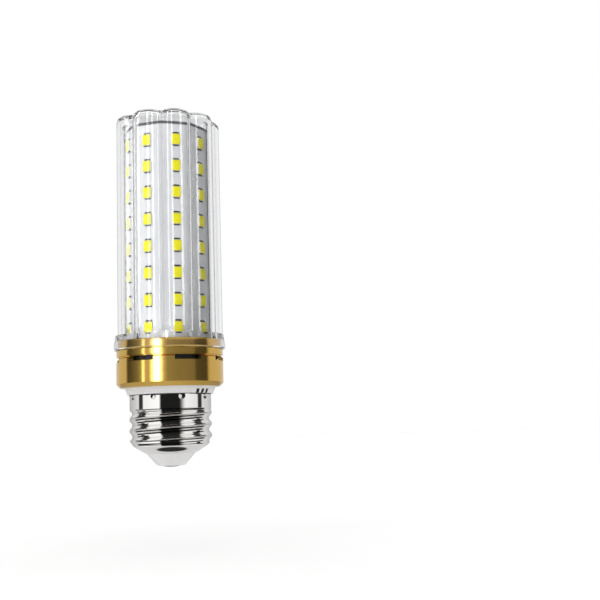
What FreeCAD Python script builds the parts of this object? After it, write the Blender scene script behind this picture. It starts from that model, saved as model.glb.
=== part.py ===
# A corn lamp: columns of small lamps under a clear fluted cover, on an Edison screw cap.
# Millimetres, +Z up. The origin is the tip of the centre contact, on the lamp's axis.
# A bearing is an angle in degrees about the axis, measured from the front (-Y) towards +X.
import FreeCAD, Part
import math
import os

Vector = FreeCAD.Vector
UP = Vector(0, 0, 1)

# Screw cap, a standard 26 mm Edison screw rolled from thin sheet
thread_crest_radius = 13.1
thread_depth = 0.85
thread_pitch = 25.4 / 7
thread_crest_height = 11.6
thread_run_in = 0.4
thread_run_out = 0.3
barrel_relief = 0.1
cap_sheet = 0.3
cap_rim_radius = 7.95
cap_cone_height = 2.8
cap_thread_length = 11.2
cap_barrel_length = 4.6
crimp_count = 9
crimp_bearing = 15.8
crimp_drop = 0.9
crimp_ball_radius = 1.75
crimp_depth = 0.55
points_per_turn = 36
sections_per_pitch = 7
join_tolerance = 1e-3

# Insulated tip and its contact
tip_height = 4.4
tip_step = 0.1
tip_bottom_radius = 4.4
tip_plug_height = 1.4
tip_edge_round = 0.35
contact_radius = 3.2
contact_height = 0.55
contact_stem_radius = 0.9
contact_stem_length = 5.4

# Fits between pieces
push_fit = 0.05
slip_fit = 0.1

# Plastic housing
spigot_wall = 1.35
collar_height = 2.2
collar_step = 0.6
housing_cup_height = 5.7
housing_cup_wall = 1.3
housing_web = 1.2
housing_web_drop = 0.4
vent_width = 0.9
vent_height = 1.3
vents_per_group = 3
vent_group_bearings = (46, 226)
vent_spacing = 8.5

# Gold ring
ring_radius = 17.1
ring_wall = 1.5
ring_floor = 1.3
ring_floor_reach = 0.95
ring_foot_round = 1.2
ring_band_height = 8.1
ring_groove_depth = 0.7
ring_groove_slope = 1.0
ring_groove_height = 0.75
ring_lip_height = 2.1
ring_lip_inset = 0.05
ring_lip_chamfer = 0.2
ring_collar_inset = 0.5
ring_collar_height = 2.85
ring_collar_wall = 1.2
ring_ledge_drop = 2.5
ring_ledge_depth = 1.2
ring_ledge_thickness = 1.0
slot_count = 7
slot_bearing = -32.0
slot_angle = 29.0
slot_height = 1.55
slot_drop = 0.25

# Clear cover
lobe_count = 9
front_lobe_bearing = 11.5
cover_overhang = 0.1
lobe_fullness = 0.311
valley_radius = 0.4
cover_wall = 1.1
cover_top_wall = 1.5
cover_headroom = 2.2
cover_top_round = 2.0
cover_inner_round = 0.9
flange_height = 1.9
flange_overhang = 0.15
skirt_flare = 0.65
skirt_wall = 1.15
skirt_lift = 0.1
skirt_band_height = 1.5
skirt_edge_chamfer = 0.3

# Column of lamps
seat_thickness = 1.3
seat_boss_height = 2.5
board_thickness = 1.0
board_bend_share = 0.53
board_clearance = 0.12
board_length = 70.0
board_seam = 0.3
plate_thickness = 0.9
plate_overhang = 0.08
plate_boss_height = 1.6
lamp_rows = 8
lamp_first_drop = 5.1
lamp_last_rise = 4.7
lamp_width = 2.8
lamp_height = 3.5
lamp_depth = 0.7
phosphor_width = 2.5
phosphor_height = 3.2
phosphor_depth = 0.4
solder_width = 2.0
solder_height = 0.4
solder_depth = 0.3

# Driver: a size is width along the board, depth off its face, and height. A place is across and up
sleeve_wall = 0.4
sleeve_length = 9.0
driver_board_length = 27.0
driver_board_thickness = 1.6
driver_board_lift = 3.1
capacitor_radius = 4.0
capacitor_length = 11.0
capacitor_place = 13.0
capacitor_groove = 0.25
film_capacitor_size = (9.0, 4.6, 7.0)
film_capacitor_place = (-4.6, 4.0)
choke_radius = 3.6
choke_length = 8.0
choke_core_radius = 1.9
choke_flange = 1.1
choke_winding_radius = 3.1
choke_place = 15.0
bridge_size = (4.7, 2.5, 3.8)
bridge_place = (4.0, 4.5)
chip_size = (4.9, 1.6, 3.9)
chip_place = (0.0, 9.5)
fuse_radius = 1.5
fuse_length = 6.5
fuse_place = (-6.0, 0.8)
wire_radius = 0.6
wire_lap = 2.5
neutral_wire_offset = 3.0
lamp_wire_offset = 6.0
lamp_wire_rise = 4.0
wire_end_gap = 0.15

# Heights and radii of the cap and the housing
rim_z = tip_height
thread_z = rim_z + cap_cone_height
barrel_z = thread_z + cap_thread_length
cap_top_z = barrel_z + cap_barrel_length
thread_root_radius = thread_crest_radius - thread_depth
barrel_radius = thread_crest_radius - barrel_relief
cap_bore = barrel_radius - cap_sheet
crimp_z = cap_top_z - crimp_drop
crimp_centre = barrel_radius - crimp_depth + crimp_ball_radius
plug_top_z = rim_z + tip_plug_height
stem_top_z = contact_height + contact_stem_length
spigot_radius = cap_bore - push_fit
spigot_bore = spigot_radius - spigot_wall
collar_radius = barrel_radius + collar_step

# Heights and radii of the gold ring
ring_z = cap_top_z + collar_height
ring_floor_z = ring_z + ring_floor
ring_band_z = ring_z + ring_band_height
ring_groove_z = ring_band_z + ring_groove_slope
ring_lip_z = ring_groove_z + ring_groove_height
ring_lip_top_z = ring_lip_z + ring_lip_height
ring_collar_top_z = ring_lip_top_z + ring_collar_height
ring_bore = ring_radius - ring_wall
ring_opening_radius = ring_bore - ring_floor_reach
ring_groove_radius = ring_radius - ring_groove_depth
lip_radius = ring_radius - ring_lip_inset
ring_collar_radius = ring_radius - ring_collar_inset
ring_collar_bore = ring_collar_radius - ring_collar_wall
ledge_z = ring_collar_top_z - ring_ledge_drop
ledge_radius = ring_collar_bore - ring_ledge_depth
slot_z = ring_lip_z - slot_drop - slot_height
neck_radius = ring_opening_radius - slip_fit
cup_radius = ring_bore - slip_fit
cup_bore = cup_radius - housing_cup_wall
cup_top_z = ring_floor_z + housing_cup_height
cup_floor_z = ring_floor_z + housing_web

# Heights and radii of the cover and the column
cover_z = ring_collar_top_z
flange_top_z = cover_z + flange_height
skirt_z = ring_lip_top_z + skirt_lift
cover_radius = ring_radius + cover_overhang
skirt_radius = cover_radius + skirt_flare
skirt_bore = skirt_radius - skirt_wall
lobe_step = 360 / lobe_count
lobe_radius = lobe_fullness * cover_radius
lobe_centre = cover_radius - lobe_radius
lobe_half = math.radians(lobe_step / 2)
valley_rise = math.sqrt((lobe_radius + valley_radius) ** 2 - (lobe_centre * math.sin(lobe_half)) ** 2)
valley_centre = lobe_centre * math.cos(lobe_half) + valley_rise
ridge_radius = valley_centre - valley_radius - cover_wall
seat_z = ledge_z
seat_radius = ring_collar_bore - slip_fit
board_z = seat_z + seat_thickness
board_top_z = board_z + board_length
cover_inner_top_z = board_top_z + plate_thickness + cover_headroom
cover_top_z = cover_inner_top_z + cover_top_wall
lamp_pitch = (board_length - lamp_first_drop - lamp_last_rise) / (lamp_rows - 1)
board_reach = ridge_radius - board_clearance
board_bend_radius = board_bend_share * board_reach
board_bend_centre = board_reach - board_bend_radius
board_apothem = board_bend_centre * math.cos(lobe_half) + board_bend_radius
board_flat_width = 2 * board_bend_centre * math.sin(lobe_half)

# Heights of the driver
driver_z = stem_top_z + driver_board_lift
driver_top_z = driver_z + driver_board_length
driver_face = driver_board_thickness / 2
sleeve_radius = cup_bore - slip_fit
sleeve_bore = sleeve_radius - sleeve_wall
driver_room = min(spigot_bore, sleeve_bore) - slip_fit
driver_half_width = math.sqrt(driver_room ** 2 - driver_face ** 2)
wire_line = driver_face + push_fit + wire_radius


def bearing_point(bearing, radius, z=0.0):
    """The point at this bearing, radius and height."""
    turn = math.radians(bearing)
    return Vector(radius * math.sin(turn), -radius * math.cos(turn), z)


def turned(shape, bearing):
    """A copy of a shape that was drawn at the front, turned to this bearing."""
    copy = shape.copy()
    copy.rotate(Vector(0, 0, 0), UP, bearing)
    return copy


def box_between(x0, x1, y0, y1, z0, z1):
    return Part.makeBox(x1 - x0, y1 - y0, z1 - z0, Vector(x0, y0, z0))


def upright(radius, length, x, y, z):
    """An upright cylinder that stands at this point."""
    return Part.makeCylinder(radius, length, Vector(x, y, z))


def revolved(profile):
    """A solid of revolution about the axis, from a closed profile of (radius, height) points."""
    corners = [Vector(radius, 0, z) for radius, z in profile]
    outline = Part.makePolygon(corners + corners[:1])
    return Part.Face(outline).revolve(Vector(0, 0, 0), UP, 360)


def raised(outline, height):
    """A solid drawn straight up from a closed outline."""
    return Part.Face(outline).extrude(Vector(0, 0, height))


def edges_at(shape, z):
    """The edges of a shape that lie level at this height."""
    return [edge for edge in shape.Edges if all(abs(point.z - z) < 1e-6 for point in edge.discretize(3))]


def outer_edge(shape, z):
    """The longest edge of a shape at this height."""
    return max(edges_at(shape, z), key=lambda edge: edge.Length)


def wire_along(points):
    """A round wire through these points, with a ball at each turn."""
    runs = [Part.makeCylinder(wire_radius, (end - start).Length, start, end - start)
            for start, end in zip(points, points[1:])]
    turns = [Part.makeSphere(wire_radius, corner) for corner in points[1:-1]]
    return runs[0].fuse(runs[1:] + turns)


# Screw shell

def eased(value):
    """Zero to one with flat ends."""
    value = min(1.0, max(0.0, value))
    return value * value * (3 - 2 * value)


def thread_radius(bearing, z):
    """Outside radius of the rolled thread: a round right-hand thread that runs out at both ends."""
    crest_z = thread_crest_height + thread_pitch * (bearing + 90) / 360
    wave = 0.5 + 0.5 * math.cos(2 * math.pi * (z - crest_z) / thread_pitch)
    run_in = eased((z - thread_z) / (thread_run_in * thread_pitch))
    run_out = eased((barrel_z - z) / (thread_run_out * thread_pitch))
    threaded = thread_root_radius + thread_depth * wave * run_in
    return barrel_radius + (threaded - barrel_radius) * run_out


def thread_core(inset):
    """The threaded stretch as a solid core, drawn inwards by inset."""
    rows = math.ceil(cap_thread_length / thread_pitch * sections_per_pitch)
    wires = []
    for row in range(rows + 1):
        z = thread_z + cap_thread_length * row / rows
        bearings = [360 * step / points_per_turn for step in range(points_per_turn)]
        points = [bearing_point(bearing, thread_radius(bearing, z) - inset, z) for bearing in bearings]
        curve = Part.BSplineCurve()
        curve.interpolate(Points=points, PeriodicFlag=True)
        wires.append(Part.Wire([curve.toShape()]))
    return Part.makeLoft(wires, True, True)


def cap_core(inset):
    """Cone, thread and barrel of the cap in one solid core, drawn inwards by inset."""
    rim = cap_rim_radius - inset
    cone = Part.makeCone(rim, thread_root_radius - inset, cap_cone_height, Vector(0, 0, rim_z))
    barrel = Part.makeCylinder(barrel_radius - inset, cap_barrel_length, Vector(0, 0, barrel_z))
    return thread_core(inset).fuse([cone, barrel], join_tolerance)


def crimp_balls(radius):
    bearings = [crimp_bearing + index * 360 / crimp_count for index in range(crimp_count)]
    return [Part.makeSphere(radius, bearing_point(bearing, crimp_centre, crimp_z)) for bearing in bearings]


def make_screw_shell():
    sheet = cap_core(0).cut(cap_core(cap_sheet))
    barrel_middle = upright(cap_bore + cap_sheet / 2, cap_barrel_length, 0, 0, barrel_z)
    bumps = [ball.common(barrel_middle) for ball in crimp_balls(crimp_ball_radius + cap_sheet)]
    return sheet.fuse(bumps).cut(crimp_balls(crimp_ball_radius))


# Tip of the cap

def make_tip_insulator():
    """A moulded cone below the shell's rim, with a plug that fits inside the shell's cone."""
    cone_slope = (thread_root_radius - cap_rim_radius) / cap_cone_height
    plug_radius = cap_rim_radius - cap_sheet - push_fit
    stem_bore = contact_stem_radius + push_fit
    body = revolved([
        (stem_bore, contact_height),
        (tip_bottom_radius, contact_height),
        (cap_rim_radius - tip_step, rim_z),
        (plug_radius, rim_z),
        (plug_radius + cone_slope * tip_plug_height, plug_top_z),
        (stem_bore, plug_top_z),
    ])
    return body.makeFillet(tip_edge_round, [outer_edge(body, contact_height)])


def make_centre_contact():
    """A shallow pressed cap with a rivet stem up through the insulator."""
    dome_radius = (contact_radius ** 2 + contact_height ** 2) / (2 * contact_height)
    dome = Part.makeSphere(dome_radius, Vector(0, 0, dome_radius))
    dome = dome.common(upright(contact_radius, contact_height, 0, 0, 0))
    return dome.fuse(upright(contact_stem_radius, contact_stem_length, 0, 0, contact_height))


# Plastic housing

def make_housing():
    """Spigot inside the cap, collar between cap and ring, and a cup that stands in the ring."""
    body = revolved([
        (spigot_bore, barrel_z),
        (spigot_radius, barrel_z),
        (spigot_radius, cap_top_z),
        (collar_radius, cap_top_z),
        (neck_radius, ring_z),
        (neck_radius, ring_floor_z),
        (cup_radius, ring_floor_z),
        (cup_radius, cup_top_z),
        (cup_bore, cup_top_z),
        (cup_bore, cup_floor_z),
        (spigot_bore, ring_z - housing_web_drop),
    ])
    below_collar = upright(collar_radius, cap_barrel_length, 0, 0, barrel_z)
    pockets = [ball.common(below_collar) for ball in crimp_balls(crimp_ball_radius + cap_sheet + push_fit)]
    half = vent_width / 2
    reach = max(collar_radius, neck_radius)
    vent = box_between(-half, half, -reach, 1 - spigot_bore, cap_top_z, cap_top_z + vent_height)
    vents = []
    for group in vent_group_bearings:
        first = group - vent_spacing * (vents_per_group - 1) / 2
        vents.extend(turned(vent, first + vent_spacing * index) for index in range(vents_per_group))
    return body.cut(pockets + vents)


# Gold ring

def make_gold_ring():
    """A plated ring: floor, band with a grooved top edge, lip, collar for the cover and an inner ledge."""
    body = revolved([
        (ring_opening_radius, ring_z),
        (ring_radius, ring_z),
        (ring_radius, ring_band_z),
        (ring_groove_radius, ring_groove_z),
        (ring_groove_radius, ring_lip_z),
        (lip_radius, ring_lip_z),
        (lip_radius, ring_lip_top_z - ring_lip_chamfer),
        (lip_radius - ring_lip_chamfer, ring_lip_top_z),
        (ring_collar_radius, ring_lip_top_z),
        (ring_collar_radius, ring_collar_top_z),
        (ring_collar_bore, ring_collar_top_z),
        (ring_collar_bore, ledge_z),
        (ledge_radius, ledge_z),
        (ledge_radius, ledge_z - ring_ledge_thickness),
        (ring_bore, ledge_z - ring_ledge_thickness),
        (ring_bore, ring_floor_z),
        (ring_opening_radius, ring_floor_z),
    ])
    body = body.makeFillet(ring_foot_round, [outer_edge(body, ring_z)])
    sector = Part.makeCylinder(ring_radius + 1, slot_height, Vector(0, 0, slot_z), UP, slot_angle)
    first = slot_bearing - slot_angle / 2 - 90
    return body.cut([turned(sector, first + index * 360 / slot_count) for index in range(slot_count)])


# Clear cover

def fluted_outline(inset, z):
    """The closed outline of the lobes, drawn inwards by inset: outward arcs joined by valley arcs."""
    lobe = lobe_radius - inset
    valley = valley_radius + inset
    share = lobe / (lobe + valley)
    edges = []
    for index in range(lobe_count):
        middle = front_lobe_bearing + index * lobe_step
        centre = bearing_point(middle, lobe_centre, z)
        following = bearing_point(middle + lobe_step, lobe_centre, z)
        before = bearing_point(middle - lobe_step / 2, valley_centre, z)
        after = bearing_point(middle + lobe_step / 2, valley_centre, z)
        start = centre + (before - centre) * share
        end = centre + (after - centre) * share
        crest = bearing_point(middle, lobe_centre + lobe, z)
        low = bearing_point(middle + lobe_step / 2, valley_centre - valley, z)
        edges.append(Part.Arc(start, crest, end).toShape())
        edges.append(Part.Arc(end, low, following + (after - following) * share).toShape())
    return Part.Wire(edges)


def make_clear_cover():
    """One moulding: fluted wall, closed top, a flange on the ring's collar, and a skirt round the collar."""
    wall = raised(fluted_outline(0, cover_z), cover_top_z - cover_z)
    wall = wall.makeFillet(cover_top_round, edges_at(wall, cover_top_z))
    skirt = revolved([
        (0, skirt_z),
        (skirt_radius - skirt_edge_chamfer, skirt_z),
        (skirt_radius, skirt_z + skirt_edge_chamfer),
        (skirt_radius, skirt_z + skirt_band_height),
        (cover_radius + flange_overhang, flange_top_z),
        (0, flange_top_z),
    ])
    cavity = raised(fluted_outline(cover_wall, skirt_z), cover_inner_top_z - skirt_z)
    cavity = cavity.makeFillet(cover_inner_round, edges_at(cavity, cover_inner_top_z))
    mouth = upright(skirt_bore, cover_z - skirt_z, 0, 0, skirt_z)
    return wall.fuse(skirt).cut([cavity, mouth])


# Column of lamps

def board_outline(inset, z):
    """The folded strip's closed outline: a flat behind each lobe, and a wide bend between two flats."""
    edges = []
    for index in range(lobe_count):
        middle = front_lobe_bearing + index * lobe_step
        face = bearing_point(middle, board_apothem - inset, z)
        next_face = bearing_point(middle + lobe_step, board_apothem - inset, z)
        along = bearing_point(middle + 90, board_flat_width / 2)
        next_along = bearing_point(middle + lobe_step + 90, board_flat_width / 2)
        corner = bearing_point(middle + lobe_step / 2, board_reach - inset, z)
        edges.append(Part.LineSegment(face - along, face + along).toShape())
        edges.append(Part.Arc(face + along, corner, next_face - next_along).toShape())
    return Part.Wire(edges)


def make_led_board():
    """A thin strip folded round the column, open at the back along one seam."""
    wall = raised(board_outline(0, board_z), board_length)
    wall = wall.cut(raised(board_outline(board_thickness, board_z), board_length))
    half = board_seam / 2
    seam = box_between(-half, half, -board_reach - 1, 0, board_z, board_top_z)
    return wall.cut(turned(seam, front_lobe_bearing + lobe_step * (lobe_count // 2 + 0.5)))


def make_top_plate():
    """The dark end plate of the column, with a shallow boss inside it."""
    boss_z = board_top_z - plate_boss_height
    boss = raised(board_outline(board_thickness + slip_fit, boss_z), plate_boss_height)
    return boss.fuse(raised(board_outline(-plate_overhang, board_top_z), plate_thickness))


def make_column_seat():
    """The round plate on the ring's ledge, with a boss that holds the column, and two wire holes."""
    plate = upright(seat_radius, seat_thickness, 0, 0, seat_z)
    boss = raised(board_outline(board_thickness + slip_fit, board_z), seat_boss_height)
    holes = [upright(wire_radius + push_fit, seat_thickness + seat_boss_height, x, wire_line, seat_z)
             for x in (-lamp_wire_offset, lamp_wire_offset)]
    return plate.fuse(boss).cut(holes)


def lamp_box(width, height, near, far):
    """A block on the front flat, level with z = 0, from near to far off the board's face."""
    half_width = width / 2
    half_height = height / 2
    back = -board_apothem - near
    front = -board_apothem - far
    return box_between(-half_width, half_width, front, back, -half_height, half_height)


def up_column(pieces, column):
    """Copies of pieces drawn on the front flat at z = 0, one set for each lamp of this column."""
    bearing = front_lobe_bearing + column * lobe_step
    copies = []
    for row in range(lamp_rows):
        lift = Vector(0, 0, board_top_z - lamp_first_drop - row * lamp_pitch)
        copies.extend(turned(piece, bearing).translated(lift) for piece in pieces)
    return copies


def make_lamp_body():
    """The white package of one lamp, with the pocket for its phosphor."""
    package = lamp_box(lamp_width, lamp_height, 0, lamp_depth)
    return package.cut(lamp_box(phosphor_width, phosphor_height, lamp_depth - phosphor_depth, lamp_depth))


def make_phosphor():
    return lamp_box(phosphor_width, phosphor_height, lamp_depth - phosphor_depth, lamp_depth)


def make_solder_pair():
    """The two soldered ends of one lamp, above and below its package."""
    joint = lamp_box(solder_width, solder_height, 0, solder_depth)
    offset = (lamp_height + solder_height) / 2
    return [joint.translated(Vector(0, 0, -offset)), joint.translated(Vector(0, 0, offset))]


# Driver

def on_board(size, place, side):
    """A block on the driver board's front (side -1) or back (side 1), at (across, up the board)."""
    width, depth, height = size
    across, up = place
    near = side * driver_face
    far = side * (driver_face + depth)
    z = driver_z + up
    return box_between(across - width / 2, across + width / 2, min(near, far), max(near, far), z, z + height)


def make_driver_board():
    half = driver_half_width
    return box_between(-half, half, -driver_face, driver_face, driver_z, driver_top_z)


def make_driver_sleeve():
    top_z = cup_floor_z + sleeve_length
    return revolved([
        (sleeve_bore, cup_floor_z),
        (sleeve_radius, cup_floor_z),
        (sleeve_radius, top_z),
        (sleeve_bore, top_z),
    ])


def make_electrolytic_capacitor():
    """A can with a rolled groove near its foot, lying along the back of the board."""
    y = driver_face + push_fit + capacitor_radius
    z = driver_z + capacitor_place
    can = upright(capacitor_radius, capacitor_length, 0, y, z)
    waist = capacitor_radius - capacitor_groove
    groove_z = z + 4 * capacitor_groove
    groove = upright(capacitor_radius, 3 * capacitor_groove, 0, y, groove_z)
    return can.cut(groove.cut(upright(waist, 3 * capacitor_groove, 0, y, groove_z)))


def choke_part(radius, length, up):
    """A round of the choke, on the choke's own axis in front of the board."""
    return upright(radius, length, 0, -driver_face - push_fit - choke_radius, driver_z + choke_place + up)


def make_choke_core():
    flanges = [choke_part(choke_radius, choke_flange, up) for up in (0, choke_length - choke_flange)]
    return choke_part(choke_core_radius, choke_length, 0).fuse(flanges)


def make_choke_winding():
    length = choke_length - 2 * choke_flange
    winding = choke_part(choke_winding_radius, length, choke_flange)
    return winding.cut(choke_part(choke_core_radius, length, choke_flange))


def make_fuse_resistor():
    across, up = fuse_place
    return upright(fuse_radius, fuse_length, across, -driver_face - push_fit - fuse_radius, driver_z + up)


def make_live_wire():
    """From the contact's stem to the front of the board."""
    bend_z = stem_top_z + wire_radius + push_fit
    lap_z = driver_z - wire_radius - push_fit
    return wire_along([
        Vector(0, 0, stem_top_z),
        Vector(0, 0, bend_z),
        Vector(0, -wire_line, lap_z),
        Vector(0, -wire_line, driver_z + wire_lap),
    ])


def make_neutral_wire():
    """From the back of the board to a root of the shell's thread at the back."""
    root_z = thread_crest_height + thread_pitch * (270 / 360 - 1 / 2)
    shell_reach = thread_root_radius - cap_sheet - wire_end_gap
    return wire_along([
        Vector(neutral_wire_offset, wire_line, root_z + wire_lap),
        Vector(neutral_wire_offset, wire_line, root_z),
        bearing_point(180, shell_reach, root_z),
    ])


def make_lamp_wire(side):
    """From the back of the driver board, up through the seat, to the inside of the column."""
    middle = front_lobe_bearing + lobe_step * (2 if side > 0 else -2)
    wall = board_apothem - board_thickness - push_fit - wire_radius
    turn_z = board_z + seat_boss_height + wire_radius
    return wire_along([
        Vector(side * lamp_wire_offset, wire_line, driver_top_z - wire_lap),
        Vector(side * lamp_wire_offset, wire_line, turn_z),
        bearing_point(middle, wall, turn_z + lamp_wire_rise),
        bearing_point(middle, wall, turn_z + lamp_wire_rise + wire_lap),
    ])


def build():
    """Every piece of the lamp by name. A list is a group of separate solids."""
    pieces = {
        "clear_cover": make_clear_cover(),
        "gold_ring": make_gold_ring(),
        "housing": make_housing(),
        "screw_shell": make_screw_shell(),
        "tip_insulator": make_tip_insulator(),
        "centre_contact": make_centre_contact(),
        "led_board": make_led_board(),
        "top_plate": make_top_plate(),
        "column_seat": make_column_seat(),
        "driver_sleeve": make_driver_sleeve(),
        "driver_board": make_driver_board(),
        "electrolytic_capacitor": make_electrolytic_capacitor(),
        "film_capacitor": on_board(film_capacitor_size, film_capacitor_place, 1),
        "choke_core": make_choke_core(),
        "choke_winding": make_choke_winding(),
        "bridge_rectifier": on_board(bridge_size, bridge_place, -1),
        "driver_chip": on_board(chip_size, chip_place, -1),
        "fuse_resistor": make_fuse_resistor(),
        "live_wire": make_live_wire(),
        "neutral_wire": make_neutral_wire(),
        "lamp_wire_positive": make_lamp_wire(1),
        "lamp_wire_negative": make_lamp_wire(-1),
    }
    joints = []
    for column in range(lobe_count):
        pieces[f"led_bodies_{column + 1}"] = up_column([make_lamp_body()], column)
        pieces[f"led_phosphors_{column + 1}"] = up_column([make_phosphor()], column)
        joints.extend(up_column(make_solder_pair(), column))
    pieces["solder_joints"] = joints
    return pieces


os.makedirs("parts", exist_ok=True)
for name, piece in build().items():
    shape = Part.makeCompound(piece) if isinstance(piece, list) else piece
    if len(shape.Solids) == 1:
        shape = shape.Solids[0]
    shape.exportStep(f"parts/{name}.step")
    print(f"{name:24s} solids {len(shape.Solids):3d}  volume {shape.Volume:9.1f}  valid {shape.isValid()}")
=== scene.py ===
from math import atan2, cos, pi, radians, sin, sqrt

import bmesh
import bpy
from mathutils import Matrix, Vector


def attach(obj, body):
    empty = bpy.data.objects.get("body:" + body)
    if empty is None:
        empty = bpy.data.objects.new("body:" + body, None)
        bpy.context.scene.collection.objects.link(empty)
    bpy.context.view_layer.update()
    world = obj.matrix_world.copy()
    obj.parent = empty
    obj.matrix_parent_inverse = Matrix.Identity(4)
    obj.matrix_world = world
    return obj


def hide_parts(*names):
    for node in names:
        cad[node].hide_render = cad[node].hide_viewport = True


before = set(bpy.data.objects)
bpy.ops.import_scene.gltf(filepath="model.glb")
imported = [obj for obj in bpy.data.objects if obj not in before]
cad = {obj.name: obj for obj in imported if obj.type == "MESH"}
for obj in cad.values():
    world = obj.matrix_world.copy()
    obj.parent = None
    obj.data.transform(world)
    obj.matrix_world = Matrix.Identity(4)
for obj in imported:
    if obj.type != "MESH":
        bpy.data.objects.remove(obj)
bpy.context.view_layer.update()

# Corn bulb, dressed over its CAD frame. Pieces are drawn in millimetres and turned to metres at the end.
# A bearing is an angle in degrees about the bulb's axis, from the front towards the right.
mm = 0.001
sameSpot = 0.0005  # points nearer than this are merged
hair = 0.001  # heights nearer than this count as one
edgeReach = 0.01  # how far off its radius and height an edge may lie
flatAngle = 0.5  # faces of a CAD node that turn by fewer degrees are made whole
noiseSpan = (0.3, 0.7)  # the part of a noise that is spread over a pattern's whole range
noiseRoughness = 0.55
bumpStrength = 0.4
metallic = {"Metallic": 1.0}


def bearingPoint(bearing, radius, z=0.0):
    turn = radians(bearing)
    return Vector((radius * sin(turn), -radius * cos(turn), z))


def bearingOf(place):
    return atan2(place.x, -place.y) * 180 / pi


# Mesh helpers

def toObject(bm, name, material):
    # turns the drawing to metres and links it to the scene
    bmesh.ops.scale(bm, vec=(mm, mm, mm), verts=bm.verts)
    mesh = bpy.data.meshes.new(name)
    bm.to_mesh(mesh)
    bm.free()
    mesh.materials.append(material)
    made = bpy.data.objects.new(name, mesh)
    bpy.context.scene.collection.objects.link(made)
    return made


def finishPiece(bm, name, material, nodes, sharp=30):
    # merges, turns the faces outwards and hands the piece to the frame
    bmesh.ops.remove_doubles(bm, verts=bm.verts, dist=sameSpot)
    bmesh.ops.recalc_face_normals(bm, faces=bm.faces)
    piece = toObject(bm, name, material)
    piece.data.shade_smooth()
    piece.data.set_sharp_from_angle(angle=radians(sharp))
    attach(piece, "root")
    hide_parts(*nodes)


def fromNode(node):
    # a merged millimetre copy of a CAD node with its flat faces whole again
    bm = bmesh.new()
    bm.from_mesh(cad[node].data)
    bmesh.ops.scale(bm, vec=(1 / mm, 1 / mm, 1 / mm), verts=bm.verts)
    bmesh.ops.remove_doubles(bm, verts=bm.verts, dist=sameSpot)
    bmesh.ops.dissolve_limit(bm, angle_limit=radians(flatAngle), verts=bm.verts, edges=bm.edges)
    return bm


def spun(profile, steps, closed=True):
    # turns a profile of (radius, height) points round the axis
    bm = bmesh.new()
    verts = [bm.verts.new((radius, 0, z)) for radius, z in profile]
    pairs = zip(verts, verts[1:] + verts[:1]) if closed else zip(verts, verts[1:])
    edges = [bm.edges.new(pair) for pair in pairs]
    bmesh.ops.spin(bm, geom=verts + edges, cent=(0, 0, 0), axis=(0, 0, 1), angle=2 * pi,
                   steps=steps, use_merge=True)
    bmesh.ops.remove_doubles(bm, verts=bm.verts, dist=sameSpot)
    return bm


def roundRing(bm, radius, z, size, segments):
    # rounds the circular edge at this radius and height
    def lies(vert):
        return abs(vert.co.xy.length - radius) < edgeReach and abs(vert.co.z - z) < edgeReach
    edges = [edge for edge in bm.edges if lies(edge.verts[0]) and lies(edge.verts[1])]
    bmesh.ops.bevel(bm, geom=edges, offset=size, offset_type="OFFSET", segments=segments,
                    profile=0.5, affect="EDGES", material=-1)


def block(bm, width, height, near, far, z=0.0):
    # a block at the front, from near to far off the bulb's axis
    made = bmesh.ops.create_cube(bm, size=1.0)["verts"]
    bmesh.ops.scale(bm, vec=(width, far - near, height), verts=made)
    bmesh.ops.translate(bm, vec=(0, -(near + far) / 2, z), verts=made)
    return made


# Material helpers

def newMaterial(name, color, roughness, settings):
    material = bpy.data.materials.new(name)
    material.use_nodes = True
    shader = material.node_tree.nodes["Principled BSDF"]
    shader.inputs["Base Color"].default_value = (*color, 1)
    shader.inputs["Roughness"].default_value = roughness
    for socket, value in settings.items():
        shader.inputs[socket].default_value = value
    return material


def addNode(material, kind, **values):
    node = material.node_tree.nodes.new(kind)
    for key, value in values.items():
        if key in node.inputs:
            node.inputs[key].default_value = value
        else:
            setattr(node, key, value)
    return node


def link(material, source, socket, target, entry):
    material.node_tree.links.new(source.outputs[socket], target.inputs[entry])


def shaderOf(material):
    return material.node_tree.nodes["Principled BSDF"]


def objectPattern(material, stretch=(1, 1, 1)):
    # object coordinates in millimetres, stretched for the pattern
    place = addNode(material, "ShaderNodeTexCoord")
    mapping = addNode(material, "ShaderNodeMapping")
    mapping.inputs["Scale"].default_value = tuple(share / mm for share in stretch)
    link(material, place, "Object", mapping, "Vector")
    return mapping


def mottle(material, dark, light, scale):
    # colour that wanders between two close tones
    mapping = objectPattern(material)
    noise = addNode(material, "ShaderNodeTexNoise", Scale=scale, Detail=4, Roughness=noiseRoughness)
    ramp = addNode(material, "ShaderNodeValToRGB")
    for element, position, color in zip(ramp.color_ramp.elements, noiseSpan, (dark, light)):
        element.position = position
        element.color = (*color, 1)
    link(material, mapping, "Vector", noise, "Vector")
    link(material, noise, "Fac", ramp, "Fac")
    link(material, ramp, "Color", shaderOf(material), "Base Color")


def roughen(material, low, high, scale, stretch=(1, 1, 1)):
    # roughness that wanders between two values
    mapping = objectPattern(material, stretch)
    noise = addNode(material, "ShaderNodeTexNoise", Scale=scale, Detail=3)
    spread = addNode(material, "ShaderNodeMapRange")
    spread.inputs["From Min"].default_value, spread.inputs["From Max"].default_value = noiseSpan
    spread.inputs["To Min"].default_value = low
    spread.inputs["To Max"].default_value = high
    link(material, mapping, "Vector", noise, "Vector")
    link(material, noise, "Fac", spread, "Value")
    link(material, spread, "Result", shaderOf(material), "Roughness")


def grain(material, scale, depth):
    # a fine bump, depth in millimetres
    mapping = objectPattern(material)
    noise = addNode(material, "ShaderNodeTexNoise", Scale=scale, Detail=4)
    bump = addNode(material, "ShaderNodeBump", Strength=bumpStrength, Distance=depth * mm)
    link(material, mapping, "Vector", noise, "Vector")
    link(material, noise, "Fac", bump, "Height")
    link(material, bump, "Normal", shaderOf(material), "Normal")


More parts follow.
